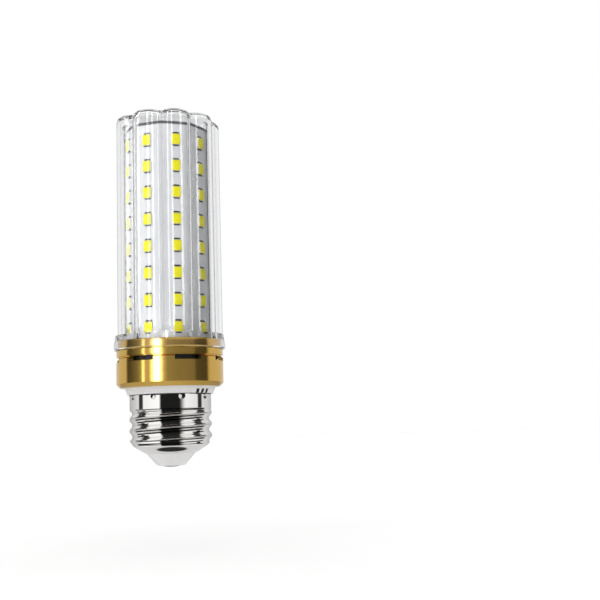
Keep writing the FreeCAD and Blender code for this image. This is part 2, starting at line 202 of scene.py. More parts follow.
def makeFinish(name, finish):
    # A finish has a colour and a roughness, and may have
    # shader: other sockets of the shader by name
    # tones: the darker and the lighter colour, and the pattern's scale per millimetre
    # wander: the least and the greatest roughness, the pattern's scale, and its stretch
    # grain: the scale and the depth of a bump
    material = newMaterial(name, finish["color"], finish["roughness"], finish.get("shader", {}))
    for vary, key in ((mottle, "tones"), (roughen, "wander"), (grain, "grain")):
        if key in finish:
            vary(material, *finish[key])
    return material


print("stage: clear cover")
cover = {
    "lobes": 9,
    "frontLobe": 11.5,  # bearing of the lobe nearest the front
    "crest": 17.2,
    "lobeRadius": 5.35,
    "valleyRadius": 0.4,
    "wall": 1.1,
    "topWall": 1.5,
    "topZ": 113.4,
    "topRound": 2.0,
    "innerRound": 0.9,
    "flangeTopZ": 41.9,
    "flangeRadius": 17.35,
    "seatZ": 40.0,
    "skirtRadius": 17.85,
    "skirtBore": 16.7,
    "skirtZ": 37.25,
    "skirtBandZ": 38.75,
    "skirtChamfer": 0.3,
    "lobeSteps": 26,
    "valleySteps": 12,
    "roundSteps": 8,
}


def flutedRing(bm, shape, z):
    # closed outline of lobes and valley fillets, spun about their own centres
    step = 360 / shape["lobes"]
    lobe, valley = shape["lobeRadius"], shape["valleyRadius"]
    centreRadius = shape["crest"] - lobe
    half = radians(step / 2)
    rise = sqrt((lobe + valley) ** 2 - (centreRadius * sin(half)) ** 2)
    valleyCentre = bearingPoint(shape["frontLobe"] + step / 2, centreRadius * cos(half) + rise, z)
    lobeCentre = bearingPoint(shape["frontLobe"], centreRadius, z)
    reach = valleyCentre - lobeCentre
    sweep = bearingOf(reach) - shape["frontLobe"]
    touch = reach * lobe / (lobe + valley)
    start = bm.verts.new(lobeCentre + Matrix.Rotation(radians(-2 * sweep), 3, "Z") @ touch)
    made = bmesh.ops.spin(bm, geom=[start], cent=lobeCentre, axis=(0, 0, 1), angle=radians(2 * sweep),
                          steps=shape["lobeSteps"])
    bmesh.ops.spin(bm, geom=made["geom_last"], cent=valleyCentre, axis=(0, 0, -1),
                   angle=radians(2 * sweep - step), steps=shape["valleySteps"])
    unit = list(bm.verts) + list(bm.edges)
    bmesh.ops.spin(bm, geom=unit, cent=(0, 0, 0), axis=(0, 0, 1), angle=radians(360 - step),
                   steps=shape["lobes"] - 1, use_duplicate=True)
    bmesh.ops.remove_doubles(bm, verts=bm.verts, dist=sameSpot)
    return list(bm.edges)


def nextRing(bm, edges):
    # extrudes a closed ring of edges and returns its new edges and vertices
    made = bmesh.ops.extrude_edge_only(bm, edges=edges)["geom"]
    newEdges = [part for part in made if isinstance(part, bmesh.types.BMEdge) and part.is_boundary]
    newVerts = [part for part in made if isinstance(part, bmesh.types.BMVert)]
    return newEdges, newVerts


def roundedCap(bm, edges, radius, steps):
    # closes a ring with a flat face above it whose border is rounded
    face = bmesh.ops.contextual_create(bm, geom=edges)["faces"][0]
    if face.normal.z < 0:
        face.normal_flip()
    for index in range(steps):
        low, high = pi / 2 * index / steps, pi / 2 * (index + 1) / steps
        bmesh.ops.inset_region(bm, faces=[face], thickness=radius * (cos(low) - cos(high)),
                               depth=radius * (sin(high) - sin(low)), use_even_offset=True)


def makeCover(shape, material):
    bm = bmesh.new()
    edges = flutedRing(bm, shape, shape["topZ"] - shape["topRound"])
    ringVerts = [edge.verts[0] for edge in edges] + [edge.verts[1] for edge in edges]
    outline = {vert: vert.co.copy() for vert in ringVerts}
    inwards = {}
    for vert in outline:  # the way in, square to the outline at each vertex
        before, after = [edge.other_vert(vert).co for edge in vert.link_edges]
        along = (after - before).normalized()
        side = Vector((-along.y, along.x, 0))
        inwards[vert] = side if side.dot(vert.co) < 0 else -side
    follow = {vert: vert for vert in outline}
    wallEdges = edges

    def stepTo(placeOf):
        # adds one ring below or inside the last one
        nonlocal wallEdges, follow
        wallEdges, verts = nextRing(bm, wallEdges)
        newFollow = {}
        for vert in verts:
            others = [edge.other_vert(vert) for edge in vert.link_edges]
            newFollow[vert] = next(follow[other] for other in others if other in follow)
        for vert, source in newFollow.items():
            vert.co = placeOf(source)
        follow = newFollow

    def circleAt(radius, z):
        return lambda source: bearingPoint(bearingOf(outline[source]), radius, z)

    def insideAt(z):
        return lambda source: Vector((*(outline[source] + inwards[source] * shape["wall"]).xy, z))

    def outsideAt(z):
        return lambda source: Vector((*outline[source].xy, z))

    stepTo(outsideAt(shape["flangeTopZ"]))
    stepTo(circleAt(shape["flangeRadius"], shape["flangeTopZ"]))
    stepTo(circleAt(shape["skirtRadius"], shape["skirtBandZ"]))
    stepTo(circleAt(shape["skirtRadius"], shape["skirtZ"] + shape["skirtChamfer"]))
    stepTo(circleAt(shape["skirtRadius"] - shape["skirtChamfer"], shape["skirtZ"]))
    stepTo(circleAt(shape["skirtBore"], shape["skirtZ"]))
    stepTo(circleAt(shape["skirtBore"], shape["seatZ"]))
    stepTo(insideAt(shape["seatZ"]))
    stepTo(insideAt(shape["topZ"] - shape["topWall"] - shape["innerRound"]))
    roundedCap(bm, wallEdges, shape["innerRound"], shape["roundSteps"])
    roundedCap(bm, edges, shape["topRound"], shape["roundSteps"])
    finishPiece(bm, "clearCover", material, ["clear_cover"], sharp=28)


clearFinish = {
    "face": (0.97, 0.975, 0.98),
    # painted shade: the grey the wall turns where it is seen along its length
    "edge": (0.60, 0.61, 0.63),
    "edgeShadeStart": 0.55,
    "edgeShadeEnd": 0.98,
    "roughness": 0.04,
    "wander": (0.02, 0.06, 0.06),
    "ior": 1.38,
}


def makeClearPlastic(shape):
    # clear from the front, with painted shade: greyer where the wall is seen along its length, standing in
    # for the dark edges that refraction shows
    material = newMaterial("clearPolycarbonate", shape["face"], shape["roughness"],
                           {"Transmission Weight": 1.0, "IOR": shape["ior"]})
    facing = addNode(material, "ShaderNodeLayerWeight", Blend=0.5)
    ramp = addNode(material, "ShaderNodeValToRGB")
    for element, position, color in zip(ramp.color_ramp.elements, ("edgeShadeStart", "edgeShadeEnd"), ("face", "edge")):
        element.position = shape[position]
        element.color = (*shape[color], 1)
    link(material, facing, "Facing", ramp, "Fac")
    link(material, ramp, "Color", shaderOf(material), "Base Color")
    roughen(material, *shape["wander"])
    return material


clearPlastic = makeClearPlastic(clearFinish)
makeCover(cover, clearPlastic)


print("stage: gold ring")
ring = {
    "radius": 17.1,
    "bore": 15.6,
    "opening": 14.65,
    "bottomZ": 25.2,
    "floorZ": 26.5,
    "footChamfer": 1.15,
    "footRound": 0.25,
    "bandZ": 34.35,
    "grooveZ": 34.75,
    "grooveRadius": 16.4,
    "lipZ": 35.05,
    "lipRadius": 17.05,
    "lipTopZ": 37.15,
    "collarRadius": 16.6,
    "collarBore": 15.4,
    "collarTopZ": 40.0,
    "lipFootRound": 0.12,
    "lipRound": 0.25,
    "collarRound": 0.15,
    "ledgeRadius": 14.2,
    "ledgeTopZ": 37.5,
    "ledgeZ": 36.5,
    "slots": 7,
    "slotMiddle": -32.0,  # bearing
    "slotAngle": 29.0,
    "slotZ": 33.25,
    "slotTopZ": 34.8,
    "slotSteps": 18,
    "landSteps": 14,
    "seamReach": 0.001,  # where a full turn ends, points nearer than this are merged
}
goldFinish = {
    "color": (0.72, 0.46, 0.11),
    "roughness": 0.14,
    "shader": metallic,
    "wander": (0.11, 0.17, 0.3, (1, 1, 4)),
}


def makeRing(shape, material):
    s = shape
    corners = [
        ("opening", "bottomZ"), ("radius", "bottomZ"), ("radius", "slotZ"), ("radius", "bandZ"),
        ("grooveRadius", "grooveZ"), ("grooveRadius", "slotTopZ"), ("grooveRadius", "lipZ"),
        ("lipRadius", "lipZ"), ("lipRadius", "lipTopZ"), ("collarRadius", "lipTopZ"),
        ("collarRadius", "collarTopZ"), ("collarBore", "collarTopZ"), ("collarBore", "ledgeTopZ"),
        ("ledgeRadius", "ledgeTopZ"), ("ledgeRadius", "ledgeZ"), ("bore", "ledgeZ"), ("bore", "slotTopZ"),
        ("bore", "grooveZ"), ("bore", "bandZ"), ("bore", "slotZ"), ("bore", "floorZ"), ("opening", "floorZ"),
    ]
    step = 360 / s["slots"]
    first = s["slotMiddle"] - s["slotAngle"] / 2
    bm = bmesh.new()
    verts = [bm.verts.new(bearingPoint(first, s[radius], s[z])) for radius, z in corners]
    geom = verts + [bm.edges.new(pair) for pair in zip(verts, verts[1:] + verts[:1])]
    for index in range(s["slots"]):
        for angle, steps in ((s["slotAngle"], s["slotSteps"]), (step - s["slotAngle"], s["landSteps"])):
            geom = bmesh.ops.spin(bm, geom=geom, cent=(0, 0, 0), axis=(0, 0, 1), angle=radians(angle),
                                  steps=steps)["geom_last"]
    bmesh.ops.remove_doubles(bm, verts=bm.verts, dist=s["seamReach"])

    def inSlot(face):
        middle = face.calc_center_median()
        turn = (bearingOf(middle) - first) % step
        return s["slotZ"] < middle.z < s["slotTopZ"] and turn < s["slotAngle"]

    bmesh.ops.delete(bm, geom=[face for face in bm.faces if inSlot(face)], context="FACES_ONLY")
    stray = [edge for edge in bm.edges if not edge.link_faces]
    bmesh.ops.delete(bm, geom=stray, context="EDGES")
    for index in range(s["slots"]):  # joins the two rims of each slot through the wall
        middle = s["slotMiddle"] + index * step

        def isNear(edge):
            bearing = bearingOf(edge.verts[0].co + edge.verts[1].co)
            return abs((bearing - middle + 180) % 360 - 180) < step / 2

        rims = [edge for edge in bm.edges if edge.is_boundary and isNear(edge)]
        bmesh.ops.bridge_loops(bm, edges=rims)
    roundRing(bm, s["radius"], s["bottomZ"], s["footChamfer"], 1)
    roundRing(bm, s["radius"], s["bottomZ"] + s["footChamfer"], s["footRound"], 3)
    roundRing(bm, s["radius"] - s["footChamfer"], s["bottomZ"], s["footRound"], 3)
    roundRing(bm, s["lipRadius"], s["lipTopZ"], s["lipRound"], 3)
    roundRing(bm, s["lipRadius"], s["lipZ"], s["lipFootRound"], 2)
    roundRing(bm, s["collarRadius"], s["collarTopZ"], s["collarRound"], 2)
    finishPiece(bm, "goldRing", material, ["gold_ring"], sharp=32)


makeRing(ring, makeFinish("goldPlate", goldFinish))


print("stage: screw cap")
cap = {
    "crest": 13.1,
    "depth": 0.85,
    "pitch": 25.4 / 7,
    "crestZ": 11.6,  # at the left, bearing -90
    "rimRadius": 7.95,
    "rimZ": 4.4,
    "threadZ": 7.2,
    "barrelZ": 18.4,
    "topZ": 23.0,
    "barrel": 13.0,
    "sheet": 0.3,
    "runIn": 0.4,  # in pitches, as the next
    "runOut": 0.3,
    "crimps": 9,
    "crimpBearing": 15.8,
    "crimpZ": 22.1,
    "crimpBall": 1.35,
    "crimpDepth": 0.34,
    "crimpSoftness": 0.15,
    "coneSteps": 8,
    "coneBulge": 0.16,
    "bulgeOut": 0.55,  # shares of the bulge outwards and down
    "bulgeDown": 0.84,
    "rimLift": 0.1,
    "rootRound": 0.3,
    "steps": 360,
    "rowHeight": 0.16,
}
nickelFinish = {
    "color": (0.82, 0.81, 0.79),
    "roughness": 0.05,
    "shader": metallic,
    "wander": (0.035, 0.07, 0.35, (1, 1, 5)),
    "dullFrom": 0.025,  # below the crest
    "dullTo": 0.01,
    "dullRoughness": 0.55,
}


def eased(value):
    value = min(1.0, max(0.0, value))
    return value * value * (3 - 2 * value)


def threadRadius(shape, bearing, z):
    # a right-hand thread of arcs that run into each other and out at both ends
    s = shape
    half = s["depth"] / 2
    quarter = s["pitch"] / 4
    arc = (quarter ** 2 + half ** 2) / (2 * half)
    root = s["crest"] - s["depth"]
    crestZ = s["crestZ"] + s["pitch"] * (bearing + 90) / 360
    off = abs((z - crestZ + 2 * quarter) % s["pitch"] - 2 * quarter)
    rise = sqrt(arc ** 2 - min(off, 2 * quarter - off) ** 2) - (arc - half)
    wave = 0.5 + (rise if off < quarter else -rise) / s["depth"]
    runIn = eased((z - s["threadZ"]) / (s["runIn"] * s["pitch"]))
    runOut = eased((s["barrelZ"] - z) / (s["runOut"] * s["pitch"]))
    return s["barrel"] + (root + s["depth"] * wave * runIn - s["barrel"]) * runOut


def dimpled(shape, bearing, z, radius):
    # the barrel pressed in by the nearest crimping ball
    step = 360 / shape["crimps"]
    turn = (bearing - shape["crimpBearing"] + step / 2) % step - step / 2
    across = radians(turn) * radius
    up = z - shape["crimpZ"]
    inside = shape["crimpBall"] ** 2 - across ** 2 - up ** 2
    if inside <= 0:
        return radius
    pressed = radius - shape["crimpDepth"] + shape["crimpBall"] - sqrt(inside)
    soft = shape["crimpSoftness"]
    blend = eased(0.5 + (radius - pressed) / (2 * soft))
    return radius + (pressed - radius) * blend


def makeScrewShell(shape, material):
    s = shape
    root = s["crest"] - s["depth"]
    threadRows = round((s["barrelZ"] - s["threadZ"]) / s["rowHeight"])
    barrelRows = round((s["topZ"] - s["barrelZ"]) / s["rowHeight"])
    rows = [s["threadZ"] + (s["barrelZ"] - s["threadZ"]) * row / threadRows for row in range(threadRows)]
    rows += [s["barrelZ"] + (s["topZ"] - s["barrelZ"]) * row / barrelRows for row in range(barrelRows + 1)]
    cone = []
    for step in range(s["coneSteps"]):
        share = step / s["coneSteps"]
        bulge = s["coneBulge"] * 4 * share * (1 - share)
        radius = s["rimRadius"] + (root - s["rimRadius"]) * share + bulge * s["bulgeOut"]
        cone.append((radius, s["rimZ"] + (s["threadZ"] - s["rimZ"]) * share - bulge * s["bulgeDown"]))
    outside = cone + [(root, z) for z in rows]
    inside = [(root - s["sheet"], z) for z in rows[::-1]]
    inside.append((s["rimRadius"] - s["sheet"], s["rimZ"] + s["rimLift"]))
    bm = spun(outside + inside, steps=s["steps"])
    for vert in bm.verts:
        z = vert.co.z
        if z < s["threadZ"] - hair or vert.co.xy.length < root - s["sheet"] - edgeReach:
            continue
        bearing = bearingOf(vert.co)
        sheet = s["sheet"] if vert.co.xy.length < root - s["sheet"] / 2 else 0
        if z < s["barrelZ"] - hair:
            radius = threadRadius(s, bearing, z)
        else:
            radius = dimpled(s, bearing, z, s["barrel"])
        vert.co = bearingPoint(bearing, radius - sheet, z)
    roundRing(bm, root, s["threadZ"], s["rootRound"], 3)
    finishPiece(bm, "screwShell", material, ["screw_shell"], sharp=50)


def dullCrests(material, crest, finish):
    # the outermost line of the thread is rubbed dull
    place = objectPattern(material)
    flat = addNode(material, "ShaderNodeVectorMath", operation="MULTIPLY")
    flat.inputs[1].default_value = (1, 1, 0)
    radius = addNode(material, "ShaderNodeVectorMath", operation="LENGTH")
    wear = addNode(material, "ShaderNodeMapRange")
    wear.inputs["From Min"].default_value = crest - finish["dullFrom"]
    wear.inputs["From Max"].default_value = crest - finish["dullTo"]
    wear.inputs["To Max"].default_value = finish["dullRoughness"]
    most = addNode(material, "ShaderNodeMath", operation="MAXIMUM")
    before = shaderOf(material).inputs["Roughness"].links[0].from_socket
    link(material, place, "Vector", flat, 0)
    link(material, flat, "Vector", radius, 0)
    link(material, radius, "Value", wear, "Value")
    material.node_tree.links.new(before, most.inputs[0])
    link(material, wear, "Result", most, 1)
    link(material, most, "Value", shaderOf(material), "Roughness")


nickel = makeFinish("nickelPlate", nickelFinish)
dullCrests(nickel, cap["crest"], nickelFinish)
makeScrewShell(cap, nickel)


tip = {
    "rimRadius": 7.85,
    "rimZ": 4.4,
    "bottomRadius": 4.4,
    "bottomZ": 0.55,
    "plugRadius": 7.6,
    "plugTopRadius": 9.7,
    "plugTopZ": 5.8,
    "bore": 0.95,
    "edgeRound": 0.35,
    "contactDome": [(0, 0), (1.1, 0.05), (2.1, 0.2), (2.8, 0.38)],
    "contactRadius": 3.2,
    "contactStem": 0.9,
    "contactStemZ": 5.95,
    "steps": 128,
    "contactSteps": 96,
}
plasticFinish = {
    "color": (0.69, 0.685, 0.68),
    "roughness": 0.34,
    "tones": ((0.67, 0.665, 0.66), (0.71, 0.705, 0.70), 0.5),
    "grain": (9.0, 0.01),
}
contactFinish = {
    "color": (0.42, 0.41, 0.39),
    "roughness": 0.24,
    "shader": metallic,
    "wander": (0.18, 0.32, 0.6),
}


def makeTip(shape, plastic, metal):
    s = shape
    bm = spun([(s["bore"], s["bottomZ"]), (s["bottomRadius"], s["bottomZ"]), (s["rimRadius"], s["rimZ"]),
               (s["plugRadius"], s["rimZ"]), (s["plugTopRadius"], s["plugTopZ"]), (s["bore"], s["plugTopZ"])],
              steps=s["steps"])
    roundRing(bm, s["bottomRadius"], s["bottomZ"], s["edgeRound"], 4)
    finishPiece(bm, "tipInsulator", plastic, ["tip_insulator"])
    rim = [(s["contactRadius"], s["bottomZ"]), (s["contactStem"], s["bottomZ"])]
    stem = [(s["contactStem"], s["contactStemZ"]), (0, s["contactStemZ"])]
    dome = spun(s["contactDome"] + rim + stem, closed=False, steps=s["contactSteps"])
    finishPiece(dome, "centreContact", metal, ["centre_contact"])


whitePlastic = makeFinish("whiteMoulding", plasticFinish)
makeTip(tip, whitePlastic, makeFinish("tinnedContact", contactFinish))


# painted shade: a dark ring standing in for the shadow where the cap meets the housing
capShade = {
    "radius": 13.0,
    "bottomZ": 22.66,
    "topZ": 23.02,
    "depth": 0.12,
    "sink": 0.02,
    "edgeDepth": 0.072,
    "edgeZ": 0.04,
    "waves": ((5, 0.09, 20), (13, 0.06, 75), (29, 0.04, 140)),  # count round the cap, height and phase
    "steps": 288,
}
blackFinish = {
    "color": (0.02, 0.022, 0.022),
    "roughness": 0.42,
    "tones": ((0.012, 0.014, 0.014), (0.028, 0.030, 0.030), 0.7),
    "grain": (6.0, 0.02),
}


def makeCapShade(shape, material):
    # painted shade: a dark, uneven ring where the cap is rolled on to the housing, standing in for the shadow
    # under the collar
    s = shape
    inner, edge = s["radius"] - s["sink"], s["radius"] + s["edgeDepth"]
    middleZ = (s["bottomZ"] + s["topZ"]) / 2
    bm = spun([(inner, s["bottomZ"]), (edge, s["bottomZ"] + s["edgeZ"]), (s["radius"] + s["depth"], middleZ),
               (edge, s["topZ"] - s["edgeZ"]), (inner, s["topZ"])], steps=s["steps"])
    for vert in bm.verts:
        bearing = bearingOf(vert.co)
        if vert.co.z < middleZ + hair:
            waves = [size * sin(radians(count * bearing + phase)) for count, size, phase in s["waves"]]
            vert.co.z += sum(waves)
    finishPiece(bm, "paintedCapShade", material, [])


print("stage: housing and sleeve")
finishPiece(fromNode("housing"), "housingMoulding", whitePlastic, ["housing"])
# one black: the driver sleeve's moulding, and painted shade for the ring at the top of the cap and the blocks
# in the vents
blackPlasticAndShade = makeFinish("blackMouldingAndShade", blackFinish)
makeCapShade(capShade, blackPlasticAndShade)
# the vents, filled with dark blocks of painted shade
vents = {
    "groups": (46.0, 226.0),
    "spacing": 8.5,
    "width": 1.1,
    "bottomZ": 23.03,
    "topZ": 24.27,
    "near": 12.6,
    "far": 13.64,
    "slope": 0.535,
}


def makeVentShade(shape, material):
    # painted shade: dark blocks in the vents, flush with the sloping housing, standing in for the shadow
    # inside them
    s = shape
    middleZ = (s["topZ"] + s["bottomZ"]) / 2
    bm = bmesh.new()
    for group in s["groups"]:
        for index in (-1, 0, 1):
            made = block(bm, s["width"], s["topZ"] - s["bottomZ"], s["near"], s["far"], middleZ)
            upper = [vert for vert in made if vert.co.z > middleZ]
            bmesh.ops.translate(bm, vec=(0, -s["slope"], 0), verts=upper)
            turn = Matrix.Rotation(radians(group + index * s["spacing"]), 3, "Z")
            bmesh.ops.rotate(bm, cent=(0, 0, 0), matrix=turn, verts=made)
    finishPiece(bm, "paintedVentShade", material, [])


makeVentShade(vents, blackPlasticAndShade)
finishPiece(fromNode("driver_sleeve"), "driverSleeve", blackPlasticAndShade, ["driver_sleeve"])


print("stage: column")
maskFinish = {
    "color": (0.80, 0.81, 0.82),
    "roughness": 0.3,
    "tones": ((0.74, 0.75, 0.77), (0.80, 0.81, 0.82), 0.35),
    "grain": (4.0, 0.01),
}
laminateFinish = {
    "color": (0.09, 0.09, 0.095),
    "roughness": 0.45,
    "tones": ((0.05, 0.05, 0.052), (0.12, 0.12, 0.125), 2.0),
}
maskPaint = makeFinish("whiteSolderMask", maskFinish)
finishPiece(fromNode("led_board"), "ledBoard", maskPaint, ["led_board"], sharp=35)
laminate = makeFinish("darkLaminate", laminateFinish)
finishPiece(fromNode("top_plate"), "topPlate", laminate, ["top_plate"], sharp=35)
finishPiece(fromNode("column_seat"), "columnSeat", whitePlastic, ["column_seat"], sharp=35)


print("stage: small lamps")
lamp = {
    "columns": 9,
    "frontColumn": 11.5,
    "rows": 8,
    "pitch": 8.6,
    "topZ": 103.7,
    "face": 13.204,
    "width": 2.8,
    "height": 3.5,
    "depth": 0.7,
    "phosphorWidth": 2.66,
    "phosphorHeight": 3.34,
    "phosphorDepth": 0.4,
    "phosphorGap": 0.001,
    "softening": 0.08,
    "solderWidth": 2.0,
    "solderBelow": 0.4,
    "solderAbove": 0.65,
    "solderDepth": 0.3,
}
packageFinish = {
    "color": (0.86, 0.85, 0.78),
    "roughness": 0.3,
    "tones": ((0.82, 0.81, 0.70), (0.90, 0.89, 0.82), 2.0),
}
phosphorFinish = {
    "color": (0.95, 0.88, 0.0),
    "roughness": 0.4,
    "shader": {"Specular IOR Level": 0.25},
    "tones": ((0.92, 0.83, 0.0), (0.98, 0.93, 0.002), 3.0),
    "grain": (12.0, 0.02),
}
# painted reflection: the shiny solder is coloured near black, standing in for the dark it mirrors
solderReflectionFinish = {
    "color": (0.035, 0.034, 0.03),
    "roughness": 0.4,
    "tones": ((0.02, 0.02, 0.018), (0.05, 0.048, 0.042), 3.0),
    "wander": (0.3, 0.5, 2.0),
}


def soften(bm, verts, size):
    edges = {edge for vert in verts for edge in vert.link_edges}
    bmesh.ops.bevel(bm, geom=list(edges), offset=size, offset_type="OFFSET", segments=2,
                    profile=0.5, affect="EDGES", material=-1)


def drawPackage(bm, s):
    # a block with a well for the phosphor
    block(bm, s["width"], s["height"], s["face"], s["face"] + s["depth"])
    front = min(bm.faces, key=lambda face: face.calc_center_median().y)
    rim = (s["width"] - s["phosphorWidth"]) / 2
    bmesh.ops.inset_region(bm, faces=[front], thickness=rim, depth=0)
    bmesh.ops.inset_region(bm, faces=[front], thickness=s["phosphorGap"], depth=-s["phosphorDepth"])


def drawPhosphor(bm, s):
    near = s["face"] + s["depth"] - s["phosphorDepth"]
    verts = block(bm, s["phosphorWidth"], s["phosphorHeight"], near, s["face"] + s["depth"])
    soften(bm, verts, s["softening"])


def drawSolder(bm, s):
    # the soldered end below a lamp and the one above it
    for side, height in ((-1, s["solderBelow"]), (1, s["solderAbove"])):
        offset = side * (s["height"] + height) / 2
        verts = block(bm, s["solderWidth"], height, s["face"], s["face"] + s["solderDepth"], offset)
        soften(bm, verts, s["softening"])


def upColumn(draw, s, column, bm):
    # one drawn copy for each lamp of this column
    for row in range(s["rows"]):
        one = bmesh.new()
        draw(one, s)
        turn = Matrix.Rotation(radians(s["frontColumn"] + column * 360 / s["columns"]), 4, "Z")
        one.transform(Matrix.Translation((0, 0, s["topZ"] - row * s["pitch"])) @ turn)
        mesh = bpy.data.meshes.new("oneLamp")
        one.to_mesh(mesh)
        one.free()
        bm.from_mesh(mesh)
        bpy.data.meshes.remove(mesh)


def drawn(draw, s, columns):
    bm = bmesh.new()
    for column in columns:
        upColumn(draw, s, column, bm)
    return bm


packageWhite = makeFinish("lampPackage", packageFinish)
phosphorResin = makeFinish("yellowPhosphor", phosphorFinish)
# solder painted near black as a painted reflection
solderReflectionPaint = makeFinish("solderPaintedReflection", solderReflectionFinish)
allColumns = range(lamp["columns"])
for column in allColumns:
    number = column + 1
    packages, phosphors = drawn(drawPackage, lamp, [column]), drawn(drawPhosphor, lamp, [column])
    finishPiece(packages, f"lampPackages{number}", packageWhite, [f"led_bodies_{number}"])
    finishPiece(phosphors, f"lampPhosphors{number}", phosphorResin, [f"led_phosphors_{number}"])
finishPiece(drawn(drawSolder, lamp, allColumns), "solderJoints", solderReflectionPaint, ["solder_joints"])


print("stage: driver")
driverLook = {
    "shade": 0.75,
    "scale": 1.2,
    "grain": (5.0, 0.02),
}
driverFinishes = {  # colour and roughness
    "driver_board": ((0.05, 0.16, 0.07), 0.4),
    "electrolytic_capacitor": ((0.03, 0.04, 0.08), 0.3),
    "film_capacitor": ((0.32, 0.05, 0.02), 0.3),
    "choke_core": ((0.05, 0.05, 0.055), 0.6),
    "choke_winding": ((0.55, 0.20, 0.06), 0.35),
    "bridge_rectifier": ((0.02, 0.02, 0.02), 0.45),
    "driver_chip": ((0.02, 0.02, 0.022), 0.4),
    "fuse_resistor": ((0.10, 0.28, 0.16), 0.45),
    "live_wire": ((0.02, 0.02, 0.02), 0.4),
    "neutral_wire": ((0.75, 0.75, 0.72), 0.4),
    "lamp_wire_positive": ((0.45, 0.02, 0.015), 0.4),
    "lamp_wire_negative": ((0.02, 0.02, 0.02), 0.4),
}
for node, (color, roughness) in driverFinishes.items():
    dark = tuple(driverLook["shade"] * part for part in color)
    finish = {"color": color, "roughness": roughness, "tones": (dark, color, driverLook["scale"]),
              "grain": driverLook["grain"]}
    cad[node].data.materials.clear()
    cad[node].data.materials.append(makeFinish(node.title().replace("_", "") + "Finish", finish))


print("stage: floor, light and camera")
studio = {
    "floorZ": -25.0,
    "floorSize": 6000.0,
    "floorSegments": 8,
    "background": 1.0,
    "brightest": 12.0,  # what the ramps' colours are measured by
    # brightness that gloss mirrors to the front, by twice the bearing of the surface that mirrors it
    "mirrored": [(-180, 0.46), (-150, 0.53), (-120, 0.7), (-81, 1.08), (-33, 1.2), (-27, 0.015), (24, 0.015),
                 (44, 1.05), (79, 0.95), (120, 0.74), (150, 0.58), (180, 0.48)],
    # dark posts by bearing, and the angles above the level between which they stand
    "posts": [(-180, 1.0), (-102, 1.0), (-97, 0.04), (-86, 0.04), (-81, 1.0), (79, 1.0), (85, 0.04),
              (95, 0.04), (101, 1.0), (180, 1.0)],
    "postsFoot": (-16.0, -10.0),
    "postsTop": (50.0, 60.0),
    # a dark sill below, by twice the bearing and by the tilt of the surface that mirrors it
    "sill": [(-180, 1.0), (-122, 1.0), (-108, 0.03), (104, 0.03), (118, 1.0), (180, 1.0)],
    "sillFoot": (-40.0, -35.0),
    "sillTop": (-15.0, -10.0),
    # brightness that surfaces facing steeply down mirror, and their tilt
    "steep": (-52.0, -48.0),
    "steepBrightness": 0.74,
    # dark shoulders beside the posts, by twice the bearing and by the tilt of the surface that mirrors them
    "shoulders": [(-180, 1.0), (-124, 1.0), (-112, 0.03), (-74, 0.03), (-66, 1.0), (62, 1.0), (70, 0.03),
                  (106, 0.03), (118, 1.0), (180, 1.0)],
    "shouldersFoot": (2.5, 3.5),
    "shouldersTop": (17.0, 26.0),
    # a dark lens that the cone of the cap mirrors, by the bearing and tilt of that surface
    "lensBrightness": 0.03,
    "lensBearing": 1.5,
    "lensTilt": -57.2,
    "lensWidth": 29.0,
    "lensHeight": 4.0,
    "lensEdge": (0.7, 1.25),
    # brightness by bearing as it reaches matt surfaces, outside the cover and inside it
    "matt": [(-180, 0.9), (-110, 1.0), (-40, 1.05), (-5, 0.9), (25, 0.8), (60, 0.75), (110, 0.8), (180, 0.9)],
    "inside": [(-180, 1.1), (-110, 1.4), (-40, 1.45), (-5, 1.65), (25, 0.5), (60, 0.04), (110, 0.3),
               (180, 1.1)],
    # a soft light overhead for matt surfaces, and the angles above the level over which it sets in
    "overhead": 1.6,
    "overheadRise": (35.0, 60.0),
    # brightness by bearing as it is seen through the clear cover
    "through": [(-180, 0.98), (-130, 0.92), (-105, 0.48), (-60, 0.85), (0, 0.8), (60, 0.8), (105, 0.46),
                (130, 0.92), (180, 0.98)],
}
floorFinish = {
    "color": (0.9, 0.9, 0.9),
    "roughness": 0.8,
    "tones": ((0.89, 0.89, 0.89), (0.91, 0.91, 0.91), 0.02),
}

# Screens that only glossy surfaces mirror: a low one round the gold ring, a shelf for the cap and one for the
# ring's foot. Each is a line of (radius, height) turned round the axis, with its brightness by bearing.
screenSteps = 120
ringScreen = {
    "line": ((30.0, 24.3), (30.0, 44.0)),
    "brightest": 9.0,
    "glow": [(-180, 0.8), (-81.5, 0.75), (-78.2, 0.72), (-76.8, 0.09), (-71.5, 0.09), (-66, 0.13),
             (-55.5, 0.22), (-47.9, 0.36), (-44.9, 0.6), (-44, 2.6), (-40.6, 2.2), (-39.4, 0.7),
             (-33.5, 0.6), (-30.5, 1), (-29.3, 1.8), (-25.9, 2.4), (-24.6, 9), (-15.5, 9), (-13.3, 1.6),
             (-8.3, 0.6), (-3.3, 0.36), (16.7, 0.3), (36.8, 0.26), (41.9, 0.1), (62.4, 0.08), (66.3, 0.6),
             (71.1, 0.75), (180, 0.8)],
}
capShelf = {
    "line": ((14.7, 24.3), (30.0, 24.3)),
    "brightest": 1.0,
    "glow": [(-180, 0.7), (-95, 0.8), (-88, 0.05), (-66, 0.05), (-58, 1.0), (-27, 1.0), (-22, 0.02),
             (19, 0.02), (27, 0.95), (56, 0.9), (64, 0.05), (84, 0.05), (91, 0.8), (180, 0.7)],
}
footShelf = {
    "line": ((14.7, 24.5), (30.0, 24.5)),
    "brightest": 1.0,
    "glow": [(-180, 0.7), (-95, 0.75), (-80, 0.45), (-45, 0.6), (-10, 0.7), (45, 0.5), (80, 0.4), (95, 0.7),
             (180, 0.7)],
}
